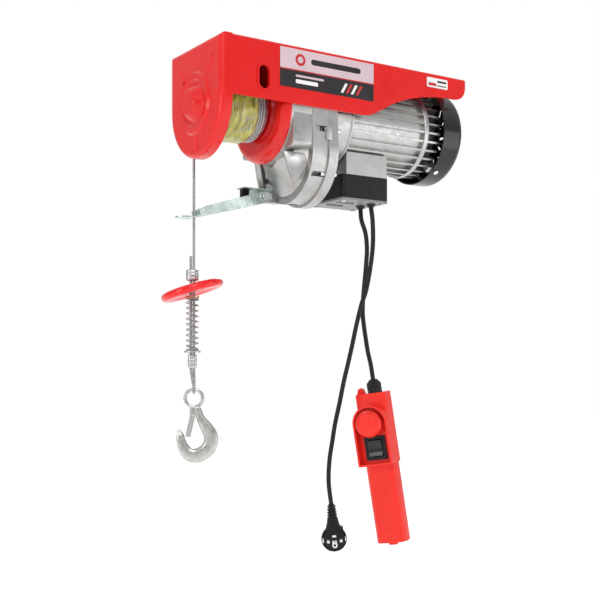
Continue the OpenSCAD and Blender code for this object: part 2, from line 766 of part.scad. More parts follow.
module latch_pin() color(steel) at_rope(eye_z) translate([latch_at[0], 5, latch_at[1]]) rotate([90, 0, 0])
  cylinder(r = 1.6, h = 10);

module hook_latch() color(zinc) at_rope(eye_z) difference() {
  union() {
    for (s = [-1, 1]) along_y(s > 0 ? 2.8 : -4, 1.2) {
      translate(latch_at) circle(3.4);
      polygon([[-4.8, -23], [1.8, -25], [-5.6, -56.5], [-12.2, -55.2]]);
    }
    along_y(-4, 8) polygon([[-6.6, -30], [-5.4, -29.6], [-11, -55.4], [-12.2, -55.2]]);
  }
  translate([latch_at[0], 6, latch_at[1]]) rotate([90, 0, 0]) cylinder(r = 1.6 + running, h = 12);
}

// ---------- pendant ----------

pendant_at = [82, -15, -494];
pendant_turn = -58.5;
view_axis = [sin(33.5), cos(33.5), 0];
module at_pendant()
  translate(pendant_at) rotate(a = -pendant_tilt, v = view_axis) rotate([0, 0, pendant_turn]) children();

pend_len = 232;
console_len = 110;
console_front = -30;
handle_w = 49;
split_y = 3;
rear_y = 18;

// A rectangle with round corners, x0..x1 by y0..y1
module round_rect(x0, y0, x1, y1, r) polygon(concat(
  arc([x1 - r, y0 + r], r, -90, 0, 5), arc([x1 - r, y1 - r], r, 0, 90, 5),
  arc([x0 + r, y1 - r], r, 90, 180, 5), arc([x0 + r, y0 + r], r, 180, 270, 5)
));

module pendant_outer() {
  translate([0, 0, -console_len]) linear_extrude(console_len) round_rect(-25, -12, 25, rear_y, 5);
  translate([0, 0, -pend_len]) linear_extrude(pend_len - console_len + 1)
    round_rect(-handle_w / 2, -18, handle_w / 2, rear_y, 13);
}

gland_at = [4, 3];
stop_at = [0, -45];
rocker_at = [0, -84];
arch_r = 28;
recess_y = -16;

// Raised guard round the button and the rocker: an arch above, straight below
module guard_shape(inset) {
  r = arch_r - inset;
  translate(stop_at) circle(r);
  translate([-r, -console_len + inset]) square([2 * r, console_len + stop_at[1] - inset]);
}

module pendant_cavity(w) {
  translate([0, 0, -console_len + w]) linear_extrude(console_len - 2 * w)
    round_rect(-25 + w, -12 + w, 25 - w, rear_y - w, 3);
  translate([0, 0, -pend_len + w]) linear_extrude(pend_len - console_len + 1)
    round_rect(-handle_w / 2 + w, -18 + w, handle_w / 2 - w, rear_y - w, 10);
}

module pendant_shell() difference() {
  union() {
    pendant_outer();
    along_y(console_front, 20) guard_shape(0);
    // Hanging lug
    translate([-17, 2, 0]) rotate([90, 0, 0]) linear_extrude(6)
      polygon([[-7, -1], [-4, 8], [0, 10], [4, 8], [7, -1]]);
    translate([0, 0, -pend_len - 5]) linear_extrude(8) round_rect(-7, -7, 7, 0, 2);
  }
  along_y(console_front - 1, recess_y - console_front + 1) guard_shape(3);
  pendant_cavity(3);
  translate([stop_at[0], 0, stop_at[1]]) rotate([90, 0, 0]) cylinder(r = 8 + clear, h = 40);
  along_y(-22, 20) translate([rocker_at[0] - 13, rocker_at[1] - 15]) square([26, 30]);
  translate([gland_at[0], gland_at[1], -5]) cylinder(r = 8, h = 10);
}

module pendant_front() color(red) at_pendant() intersection() {
  pendant_shell();
  translate([-60, -60, -300]) cube([120, 60 + split_y, 330]);
}

module pendant_rear() color(red) at_pendant() intersection() {
  pendant_shell();
  translate([-60, split_y, -300]) cube([120, 60, 330]);
}

module pendant_gland() color(black) at_pendant() translate([gland_at[0], gland_at[1], 0]) difference() {
  union() {
    translate([0, 0, -8]) cylinder(r = 8, h = 10);
    cylinder(r = 12, h = 5, $fn = 6);
    translate([0, 0, 5]) cylinder(r = 11, h = 11);
    translate([0, 0, 16]) cylinder(r1 = 10, r2 = 6, h = 5);
  }
  translate([0, 0, -10]) cylinder(r = cable_d / 2, h = 40);
}

module rocker_frame() color(black) at_pendant() translate([rocker_at[0], 0, rocker_at[1]]) difference() {
  union() {
    along_y(recess_y - 3, 3) square([34, 36], center = true);
    along_y(recess_y - 0.5, 14.5) square([26, 30], center = true);
  }
  along_y(recess_y - 4, 12) square([22.6, 26.6], center = true);
}

rocker_pivot_y = -15;
module rocker() color([0.2, 0.2, 0.22]) at_pendant()
  translate([rocker_at[0] - 11, rocker_pivot_y, rocker_at[1]]) rotate([90, 0, 90]) linear_extrude(22)
  polygon([[-7, -12], [-5.8, -6], [-5.3, 0], [-5.8, 6], [-7, 12], [0, 10], [3, 3], [3, -3], [0, -10]]);

module stop_stem() color(black) at_pendant() translate([stop_at[0], 0, stop_at[1]]) rotate([90, 0, 0])
  translate([0, 0, 5]) cylinder(r = 8, h = stop_back - 5);

stop_back = 29;
stop_face = 43;
module stop_button() color(red) at_pendant()
  translate([stop_at[0], 0, stop_at[1]]) rotate([90, 0, 0]) rotate_extrude() polygon(concat(
    [[0, stop_back], [stop_d / 2 - 4, stop_back]],
    arc([stop_d / 2 - 3, stop_back + 5], 3, -60, 30, 5),
    arc([stop_d / 2 - 9, stop_face - 8], 8, 40, 90, 5),
    [[0, stop_face + 1]]
  ));

// ---------- cables and plug ----------

// Both routes hang free; the pendant cable ends in the gland, the mains lead in the plug
pendant_route = [
  [68, -4, -208], [69, -5, -225], [74, -9, -246], [76, -10, -270], [75, -9, -295], [73, -8, -320],
  [71, -7, -345], [70, -7, -370], [72, -8, -392], [74.5, -9.5, -412], [77.5, -11, -432], [81, -13.2, -450],
  [84, -15.1, -472.5]
];
mains_route = [
  [70, -28, -208], [71, -31, -230], [70, -33, -265], [66, -32, -300], [60, -29, -336], [54, -25, -358],
  [48, -20, -390], [43.5, -15.5, -420], [37.5, -13, -448], [32.5, -9, -475], [27, -5.5, -508],
  [21, -2, -540], [17, 0, -568], [13.5, 2.5, -597], [12.8, 3.6, -630], [16.2, 1.6, -663.7]
];
pendant_line = smooth(pendant_route, 3);
mains_line = smooth(mains_route, 3);

module pendant_cable() color(black) sweep(pendant_line, cable_d / 2, 10);

module mains_cable() color(black) sweep(mains_line, cable_d / 2, 10);

// Angled earthed plug; its face looks towards -Y and -X
plug_at = [20, -1, -716.5];
plug_turn = -33.5;
relief_end = 53;
plug_lean = -5;
module at_plug() translate(plug_at) rotate([0, 0, plug_turn]) rotate([0, plug_lean, 0]) children();

module mains_plug() color(black) at_plug() difference() {
  union() {
    translate([0, 9, 0]) rotate([90, 0, 0]) cylinder(r = 19.5, h = 18);
    translate([0, 0, 10]) linear_extrude(20) round_rect(-11, -8, 11, 8, 6);
    // Ribbed strain relief
    translate([0, 0, 30]) cylinder(r1 = 8, r2 = 5.6, h = relief_end - 30);
    for (k = [0:4]) translate([0, 0, 31 + 4.3 * k]) cylinder(r = 8.4 - 0.45 * k, h = 2.2);
  }
  translate([0, -5, -14]) rotate([90, 0, 0]) cylinder(r = 2.4, h = 10);
}

module plug_pins() color(steel) at_plug() {
  for (s = [-1, 1]) translate([s * 9.5, -9, 0]) rotate([90, 0, 0]) cylinder(r = 2.4, h = 19);
}

frame_channel();
end_cover();
name_labels();
drum_plate();
gearcase();
motor_bell();
stator_housing();
stator_core();
stator_windings();
rear_shield();
fan_cover();
brake_magnet();
motor_bearings();
intermediate_bearings();
drum_bearings();
gearcase_bolts();
frame_screws();
cover_screws();
terminal_box();
terminal_lid();
capacitor();
limit_switch();
cable_grommets();
lever_bracket();
lever_pin();
pendant_cable();
mains_cable();
pendant_front();
pendant_rear();
pendant_gland();
rocker_frame();
mains_plug();
plug_pins();
drum();
rope_windings();
packing_film();
drum_shaft();
drum_gear();
intermediate_shaft();
intermediate_gear();
rotor_core();
motor_shaft();
motor_pinion();
cooling_fan();
brake_disc();
limit_lever();
rope_fall();
rope_loop();
rope_ferrules();
buffer_spring();
lower_washer();
stop_disc();
upper_washer();
load_hook();
latch_pin();
hook_latch();
rocker();
stop_stem();
stop_button();
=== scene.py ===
"""Looks of the mini wire-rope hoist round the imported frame: camera, materials, cables, pieces and light."""
import math
import random

import bmesh
import bpy
from mathutils import Matrix, Vector, noise


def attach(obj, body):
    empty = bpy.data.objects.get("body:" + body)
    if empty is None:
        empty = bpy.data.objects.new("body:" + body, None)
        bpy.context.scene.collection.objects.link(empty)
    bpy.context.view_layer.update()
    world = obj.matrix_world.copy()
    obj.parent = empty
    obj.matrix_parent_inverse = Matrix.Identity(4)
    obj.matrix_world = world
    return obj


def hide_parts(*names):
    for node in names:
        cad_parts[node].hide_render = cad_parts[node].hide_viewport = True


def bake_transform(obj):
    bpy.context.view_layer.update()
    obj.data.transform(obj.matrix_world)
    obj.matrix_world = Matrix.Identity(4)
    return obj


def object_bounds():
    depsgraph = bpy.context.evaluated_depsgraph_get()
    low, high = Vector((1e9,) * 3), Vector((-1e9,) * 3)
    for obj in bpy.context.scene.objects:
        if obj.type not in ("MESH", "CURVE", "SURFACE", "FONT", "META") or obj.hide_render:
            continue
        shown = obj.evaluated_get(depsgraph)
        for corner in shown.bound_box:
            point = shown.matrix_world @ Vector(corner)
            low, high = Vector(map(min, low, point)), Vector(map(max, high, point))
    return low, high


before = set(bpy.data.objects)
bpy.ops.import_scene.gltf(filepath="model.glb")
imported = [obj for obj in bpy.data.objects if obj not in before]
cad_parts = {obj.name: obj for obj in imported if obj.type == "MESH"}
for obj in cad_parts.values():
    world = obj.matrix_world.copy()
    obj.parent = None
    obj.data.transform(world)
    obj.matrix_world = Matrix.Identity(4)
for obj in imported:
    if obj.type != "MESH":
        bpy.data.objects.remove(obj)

cad_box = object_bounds()
MM = 0.001
TAU = 2 * math.pi
ROOT = "hoist_body"
HEADING = 33.5          # degrees from +Y towards +X; the hook, the pendant and the plug face this view


# ---------- small helpers ----------

def mm(x, y, z):
    return Vector((x, y, z)) * MM


def point_on_spline(p, i, t):
    """Catmull-Rom point between p[i] and p[i + 1], as the part's source has it."""
    n = len(p)
    a, b, c, d = p[max(i - 1, 0)], p[i], p[min(i + 1, n - 1)], p[min(i + 2, n - 1)]
    square, cube = 2 * a - 5 * b + 4 * c - d, 3 * b - a - 3 * c + d
    return 0.5 * (2 * b + (c - a) * t + square * t ** 2 + cube * t ** 3)


def smooth(points, steps):
    line = [point_on_spline(points, i, k / steps) for i in range(len(points) - 1) for k in range(steps)]
    return line + [points[-1]]


def line_length(line):
    return sum((b - a).length for a, b in zip(line, line[1:]))


def resample(line, step):
    """The same line with evenly spaced points about step apart."""
    total = line_length(line)
    count = max(2, round(total / step))
    out, walked, i = [line[0]], 0.0, 0
    for k in range(1, count):
        target = total * k / count
        while walked + (line[i + 1] - line[i]).length < target:
            walked += (line[i + 1] - line[i]).length
            i += 1
        span = (line[i + 1] - line[i]).length
        out.append(line[i].lerp(line[i + 1], (target - walked) / span))
    return out + [line[-1]]


def frames_along(line):
    """Tangent and two side vectors at each point, carried along so that they never twist."""
    out, side = [], Vector((0.83, -0.55, 0.05))
    for i in range(len(line)):
        t = (line[min(i + 1, len(line) - 1)] - line[max(i - 1, 0)]).normalized()
        side = (side - t * side.dot(t)).normalized()
        out.append((t, side, t.cross(side)))
    return out


def new_object(name, verts, faces, material, smooth_angle=None):
    mesh = bpy.data.meshes.new(name)
    mesh.from_pydata([tuple(v) for v in verts], [], faces)
    mesh.validate()
    mesh.update()
    obj = bpy.data.objects.new(name, mesh)
    bpy.context.scene.collection.objects.link(obj)
    obj.data.materials.append(material)
    mesh.shade_smooth()
    if smooth_angle is not None:
        mesh.set_sharp_from_angle(angle=math.radians(smooth_angle))
    return obj


def place(obj, body, *replaced):
    """The piece rides on a body and stands for the CAD nodes named."""
    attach(obj, body)
    if replaced:
        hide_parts(*replaced)
    return obj


def skin(rings, closed=True, caps=True):
    """Faces over rings of vertices, each ring the same length."""
    n = len(rings[0])
    verts = [v for ring in rings for v in ring]
    faces = []
    for i in range(len(rings) - 1):
        for k in range(n if closed else n - 1):
            k2 = (k + 1) % n
            faces.append((i * n + k, i * n + k2, (i + 1) * n + k2, (i + 1) * n + k))
    if caps:
        faces.append(tuple(range(n - 1, -1, -1)))
        faces.append(tuple((len(rings) - 1) * n + k for k in range(n)))
    return verts, faces


def tube(name, line, radius, material, sides):
    angles = [TAU * k / sides for k in range(sides)]
    rings = [[p + radius * (math.cos(a) * u + math.sin(a) * v) for a in angles]
             for p, (_, u, v) in zip(line, frames_along(line))]
    return new_object(name, *skin(rings), material, 40)


def lathe(name, profile, material, to_world, count=96, angle=30):
    """(radius, height) points in millimetres, turned about the local Z axis and moved by to_world."""
    angles = [TAU * k / count for k in range(count)]
    rings = [[to_world @ mm(r * math.cos(a), r * math.sin(a), h) for a in angles] for r, h in profile]
    closed_ends = profile[0][0] < 1e-6 or profile[0] == profile[-1]
    verts, faces = skin(rings, caps=not closed_ends)
    obj = new_object(name, verts, faces, material)
    tidy_mesh(obj, angle)
    return obj


def tidy_mesh(obj, angle=30):
    """Welds coincident points, makes the normals point out and marks sharp edges."""
    bm = bmesh.new()
    bm.from_mesh(obj.data)
    bmesh.ops.remove_doubles(bm, verts=bm.verts, dist=1e-6)
    bmesh.ops.recalc_face_normals(bm, faces=bm.faces)
    bm.to_mesh(obj.data)
    bm.free()
    obj.data.shade_smooth()
    obj.data.set_sharp_from_angle(angle=math.radians(angle))


def bevel(obj, width):
    """Rounds the sharp edges by width millimetres."""
    mod = obj.modifiers.new("soft_edges", "BEVEL")
    mod.width = width * MM
    mod.segments = 2
    mod.limit_method = "ANGLE"
    mod.angle_limit = math.radians(30)
    apply_modifiers(obj)
    obj.data.shade_smooth()
    obj.data.set_sharp_from_angle(angle=math.radians(40))


def apply_modifiers(obj):
    depsgraph = bpy.context.evaluated_depsgraph_get()
    mesh = bpy.data.meshes.new_from_object(obj.evaluated_get(depsgraph))
    obj.modifiers.clear()
    obj.data = mesh


def extruded(name, outline, low, high, material, to_world, width=0.6):
    """A flat outline (x, y) in millimetres, from low to high along local Z, with softened edges."""
    n = len(outline)
    verts = [to_world @ mm(x, y, z) for z in (low, high) for x, y in outline]
    faces = [tuple(range(n - 1, -1, -1)), tuple(range(n, 2 * n))]
    faces += [(k, (k + 1) % n, n + (k + 1) % n, n + k) for k in range(n)]
    obj = new_object(name, verts, faces, material)
    tidy_mesh(obj)
    if width:
        bevel(obj, width)
    return obj


def arc(cx, cy, r, a0, a1, n=8):
    angles = [math.radians(a0 + (a1 - a0) * i / n) for i in range(n + 1)]
    return [(cx + r * math.cos(a), cy + r * math.sin(a)) for a in angles]


def round_rect(x0, y0, x1, y1, r, n=6):
    return (arc(x1 - r, y0 + r, r, -90, 0, n) + arc(x1 - r, y1 - r, r, 0, 90, n)
            + arc(x0 + r, y1 - r, r, 90, 180, n) + arc(x0 + r, y0 + r, r, 180, 270, n))


def turn(degrees, axis):
    return Matrix.Rotation(math.radians(degrees), 4, axis)


# ---------- camera ----------

SIGHT = Vector((math.sin(math.radians(HEADING)), math.cos(math.radians(HEADING)), 0))


def make_camera():
    """Level camera in front of the drum end, with the view shifted as a view camera's is."""
    data = bpy.data.cameras.new("camera")
    data.lens = 62.7
    data.sensor_width = 36
    data.shift_y = 0.1117
    data.clip_start = 0.05
    camera = bpy.data.objects.new("camera", data)
    bpy.context.scene.collection.objects.link(camera)
    camera.location = (-0.908, -1.308, -0.4535)
    camera.rotation_euler = SIGHT.to_track_quat("-Z", "Y").to_euler()
    bpy.context.scene.camera = camera


make_camera()


# ---------- materials ----------

def add(tree, kind, inputs=None, **attributes):
    node = tree.nodes.new(kind)
    for key, value in attributes.items():
        setattr(node, key, value)
    for key, value in (inputs or {}).items():
        node.inputs[key].default_value = value
    return node


def scaled(color, factor):
    return (*[min(1, c * factor) for c in color[:3]], 1)


def surface(name, color, rough, metal=0.0, vary=0.08, rough_vary=0.08, patch=60, grain=900, depth=0.02,
            coat=0.0, second=None, stretch=(1, 1, 1), specular=0.5):
    """A material with soft patches of colour and roughness and a fine bump. Sizes are in waves per metre."""
    material = bpy.data.materials.new(name)
    material.use_nodes = True
    tree = material.node_tree
    link = tree.links.new
    shader = tree.nodes["Principled BSDF"]
    shader.inputs["Metallic"].default_value = metal
    shader.inputs["Specular IOR Level"].default_value = specular
    shader.inputs["Coat Weight"].default_value = coat
    shader.inputs["Coat Roughness"].default_value = 0.12
    where = add(tree, "ShaderNodeTexCoord")
    mapping = add(tree, "ShaderNodeMapping", {"Scale": stretch})
    link(where.outputs["Object"], mapping.inputs["Vector"])
    patches = add(tree, "ShaderNodeTexNoise", {"Scale": patch, "Detail": 4})
    link(mapping.outputs["Vector"], patches.inputs["Vector"])
    ramp = add(tree, "ShaderNodeValToRGB")
    ramp.color_ramp.elements[0].position = 0.3
    ramp.color_ramp.elements[1].position = 0.7
    ramp.color_ramp.elements[0].color = scaled(color, 1 - vary)
    ramp.color_ramp.elements[1].color = scaled(second or color, 1 + vary)
    link(patches.outputs["Fac"], ramp.inputs["Fac"])
    link(ramp.outputs["Color"], shader.inputs["Base Color"])
    dull = add(tree, "ShaderNodeMapRange", {
        "From Min": 0.3, "From Max": 0.7,
        "To Min": max(0.03, rough - rough_vary), "To Max": rough + rough_vary})
    fine = add(tree, "ShaderNodeTexNoise", {"Scale": patch * 3.1, "Detail": 6})
    link(mapping.outputs["Vector"], fine.inputs["Vector"])
    link(fine.outputs["Fac"], dull.inputs["Value"])
    link(dull.outputs["Result"], shader.inputs["Roughness"])
    grains = add(tree, "ShaderNodeTexNoise", {"Scale": grain, "Detail": 3})
    link(mapping.outputs["Vector"], grains.inputs["Vector"])
    bump = add(tree, "ShaderNodeBump", {"Strength": 0.6, "Distance": depth * MM})
    link(grains.outputs["Fac"], bump.inputs["Height"])
    link(bump.outputs["Normal"], shader.inputs["Normal"])
    return material


def layered_height(material, scale, detail, depth):
    """Adds a second, coarser relief under the material's own bump."""
    tree = material.node_tree
    link = tree.links.new
    first = next(n for n in tree.nodes if n.type == "BUMP")
    where = add(tree, "ShaderNodeTexCoord")
    pattern = add(tree, "ShaderNodeTexNoise", {"Scale": scale, "Detail": detail})
    link(where.outputs["Object"], pattern.inputs["Vector"])
    under = add(tree, "ShaderNodeBump", {"Strength": 0.7, "Distance": depth * MM})
    link(pattern.outputs["Fac"], under.inputs["Height"])
    link(under.outputs["Normal"], first.inputs["Normal"])
    return material


def film_material():
    """Thin yellow-green packing film: glossy, partly clear, with pale streaks of painted highlight running
    round the drum.
    """
    material = surface("packing_film", (0.26, 0.25, 0.025), 0.22, vary=0.3, patch=120, grain=500, depth=0.08,
                       coat=0.4, second=(0.46, 0.44, 0.08), stretch=(1.4, 0.4, 0.4))
    tree = material.node_tree
    link = tree.links.new
    shader = tree.nodes["Principled BSDF"]
    base = next(n for n in tree.nodes if n.type == "VALTORGB")
    where = add(tree, "ShaderNodeTexCoord")
    mapping = add(tree, "ShaderNodeMapping", {"Scale": (1.7, 0.22, 0.22)})
    link(where.outputs["Object"], mapping.inputs["Vector"])
    # Painted highlight: thin pale streaks round the drum, mixed into the film's base colour
    sheen_streaks = add(tree, "ShaderNodeTexNoise", {"Scale": 260, "Detail": 5, "Distortion": 0.8})
    link(mapping.outputs["Vector"], sheen_streaks.inputs["Vector"])
    sheen_mask = add(tree, "ShaderNodeMapRange", {"From Min": 0.57, "From Max": 0.70})
    link(sheen_streaks.outputs["Fac"], sheen_mask.inputs["Value"])
    mix = add(tree, "ShaderNodeMix", data_type="RGBA")
    link(sheen_mask.outputs["Result"], mix.inputs["Factor"])
    link(base.outputs["Color"], mix.inputs["A"])
    mix.inputs["B"].default_value = (0.74, 0.72, 0.46, 1)
    link(mix.outputs["Result"], shader.inputs["Base Color"])
    shader.inputs["Transmission Weight"].default_value = 0.1
    return material


# Paint and plastics
PAINT = layered_height(
    surface("red_paint", (0.66, 0.007, 0.006), 0.26, vary=0.05, patch=14, grain=1400, depth=0.010, coat=0.25,
            specular=0.3), 320, 2, 0.02)
RED_PLASTIC = surface("red_plastic", (0.80, 0.020, 0.010), 0.36, vary=0.05, patch=18, grain=2200, depth=0.012,
                      specular=0.35)
DISC_PLASTIC = surface("disc_plastic", (0.76, 0.006, 0.008), 0.22, vary=0.05, patch=25, grain=900,
                       depth=0.010, coat=0.3, specular=0.35)
BLACK_GLOSS = surface("black_gloss", (0.010, 0.010, 0.011), 0.16, vary=0.2, rough_vary=0.05, patch=30,
                      grain=700, depth=0.010, coat=0.2, specular=0.3)
BLACK_PLASTIC = surface("black_plastic", (0.010, 0.010, 0.011), 0.40, vary=0.2, patch=60, grain=2600,
                        depth=0.02, specular=0.22)
RUBBER = surface("black_rubber", (0.010, 0.010, 0.011), 0.38, vary=0.25, rough_vary=0.10, patch=120,
                 grain=1800, depth=0.02, specular=0.25)
GREY_PLASTIC = surface("grey_plastic", (0.20, 0.20, 0.21), 0.42, vary=0.08, patch=60, grain=2000, depth=0.02)
CREAM = surface("cream_plastic", (0.60, 0.59, 0.54), 0.4, vary=0.05)
LINING = surface("friction_lining", (0.10, 0.08, 0.07), 0.8, vary=0.3, patch=200, grain=1200, depth=0.06)

# Metals
CAST = layered_height(
    surface("cast_alloy", (0.45, 0.45, 0.44), 0.38, 0.94, vary=0.07, rough_vary=0.10, patch=45, grain=1500,
            depth=0.03), 260, 3, 0.05)
STEEL = surface("turned_steel", (0.50, 0.50, 0.51), 0.30, 1.0, vary=0.08, patch=80, grain=1200, depth=0.02)
BRIGHT = surface("bright_steel", (0.74, 0.74, 0.75), 0.22, 1.0, vary=0.06, patch=150, grain=900, depth=0.01)
ZINC = surface("zinc_plate", (0.50, 0.66, 0.64), 0.26, 1.0, vary=0.14, rough_vary=0.10, patch=70, grain=1500,
               depth=0.02, second=(0.66, 0.72, 0.70))
GALVANISED = layered_height(
    surface("galvanised_steel", (0.50, 0.50, 0.48), 0.33, 1.0, vary=0.14, rough_vary=0.12, patch=120,
            grain=1100, depth=0.05), 220, 5, 0.12)
WIRE = surface("rope_wire", (0.40, 0.40, 0.40), 0.38, 0.95, vary=0.22, rough_vary=0.12, patch=500, grain=3500,
               depth=0.05)
COPPER = surface("copper_plate", (0.62, 0.33, 0.22), 0.34, 1.0, vary=0.15, patch=150, grain=1500, depth=0.02)
WINDING = surface("winding_copper", (0.45, 0.20, 0.08), 0.30, 0.8, vary=0.2, patch=300, grain=1200, depth=0.1)
SPRING_STEEL = surface("spring_steel", (0.34, 0.34, 0.34), 0.26, 1.0, vary=0.15, patch=400, grain=1500,
                       depth=0.01)
ALLOY = surface("ferrule_alloy", (0.50, 0.50, 0.50), 0.33, 1.0, vary=0.08, patch=200, grain=1500, depth=0.03)
IRON = surface("core_steel", (0.16, 0.16, 0.17), 0.55, 0.8, vary=0.15, patch=90)

# Printed film
LABEL_PALE = surface("label_pale", (0.60, 0.46, 0.50), 0.30, vary=0.05, patch=20, coat=0.3)
LABEL_WHITE = surface("label_white", (0.80, 0.79, 0.78), 0.30, vary=0.03, patch=20, coat=0.3)
LABEL_DARK = surface("label_dark", (0.026, 0.023, 0.026), 0.34, vary=0.15, patch=20, specular=0.25)
LABEL_RED = surface("label_red", (0.50, 0.015, 0.015), 0.30, vary=0.05, patch=20, coat=0.3)
FILM = film_material()

NODE_LOOKS = {
    PAINT: ["frame_channel", "end_cover", "drum_plate"],
    DISC_PLASTIC: ["stop_disc"],
    CAST: ["gearcase", "motor_bell", "stator_housing", "rear_shield"],
    IRON: ["stator_core", "rotor_core", "brake_magnet"],
    WINDING: ["stator_windings"],
    BLACK_GLOSS: ["fan_cover", "rocker"],
    BLACK_PLASTIC: ["terminal_box", "rocker_frame", "mains_plug", "cooling_fan", "limit_switch", "stop_stem"],
    STEEL: ["motor_bearings", "intermediate_bearings", "drum_bearings", "drum", "drum_shaft", "drum_gear",
            "intermediate_shaft", "intermediate_gear", "motor_shaft", "motor_pinion"],
    BRIGHT: ["gearcase_bolts", "frame_screws", "cover_screws", "lever_pin", "latch_pin", "plug_pins"],
    GREY_PLASTIC: ["terminal_lid"],
    CREAM: ["capacitor"],
    RUBBER: ["cable_grommets", "pendant_cable", "mains_cable", "pendant_gland"],
    ZINC: ["lever_bracket", "limit_lever"],
    GALVANISED: ["load_hook", "hook_latch", "lower_washer"],
    RED_PLASTIC: ["pendant_front", "pendant_rear", "stop_button"],
    WIRE: ["rope_windings", "rope_fall", "rope_loop"],
    FILM: ["packing_film"],
    ALLOY: ["rope_ferrules"],
    SPRING_STEEL: ["buffer_spring"],
    COPPER: ["upper_washer"],
    LINING: ["brake_disc"],
    LABEL_DARK: ["name_labels"],
}
for look, nodes in NODE_LOOKS.items():
    for node in nodes:
        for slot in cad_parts[node].material_slots:
            slot.material = look


# ---------- the two cables ----------

CABLE_D = 7
PENDANT_ROUTE = [
    (68, -4, -208), (69, -5, -225), (74, -9, -246), (76, -10, -270), (75, -9, -295), (73, -8, -320),
    (71, -7, -345), (70, -7, -370), (72, -8, -392), (74.5, -9.5, -412), (77.5, -11, -432), (81, -13.2, -450),
    (84, -15.1, -472.5)]
MAINS_ROUTE = [
    (70, -28, -208), (71, -31, -230), (70, -33, -265), (66, -32, -300), (60, -29, -336), (54, -25, -358),
    (48, -20, -390), (43.5, -15.5, -420), (37.5, -13, -448), (32.5, -9, -475), (27, -5.5, -508),
    (21, -2, -540), (17, 0, -568), (13.5, 2.5, -597), (12.8, 3.6, -630), (16.2, 1.6, -663.7)]


def cable(name, route, replaced):
    """One smooth curve through the route's points, with the sheath's thickness."""
    line = smooth([mm(*p) for p in route], 6)
    data = bpy.data.curves.new(name, "CURVE")
    data.dimensions = "3D"
    data.bevel_depth = CABLE_D / 2 * MM
    data.bevel_resolution = 6
    data.use_fill_caps = True
    spline = data.splines.new("POLY")
    spline.points.add(len(line) - 1)
    for point, p in zip(spline.points, line):
        point.co = (*p, 1)
    spline.use_smooth = True
    obj = bpy.data.objects.new(name, data)
    bpy.context.scene.collection.objects.link(obj)
    data.materials.append(RUBBER)
    return place(obj, ROOT, replaced)


pendant_lead = cable("pendant_lead", PENDANT_ROUTE, "pendant_cable")
mains_lead = cable("mains_lead", MAINS_ROUTE, "mains_cable")


# ---------- places, in millimetres ----------

AXIS_Z = -83            # height of the drum's and the motor's axis
LAY_R = 45              # radius at which the hanging rope leaves the drum
FALL_X = -197.6
FALL_LOW = -300
PAIR = 4.5              # distance between the hanging rope and its folded end
AT_ROPE = Matrix.Translation(mm(FALL_X, LAY_R, 0)) @ turn(-HEADING, "Z")
AT_HOOK = AT_ROPE @ Matrix.Translation(mm(0, 0, -499))
AT_PENDANT = Matrix.Translation(mm(82, -15, -494)) @ turn(-8.5, SIGHT) @ turn(-58.5, "Z")
AT_PLUG = Matrix.Translation(mm(20, -1, -716.5)) @ turn(-HEADING, "Z") @ turn(-5, "Y")
AT_MOTOR = Matrix.Translation(mm(0, 0, AXIS_Z)) @ turn(90, "Y")
TOWARDS_FACE = turn(90, "X")


# ---------- the plug ----------

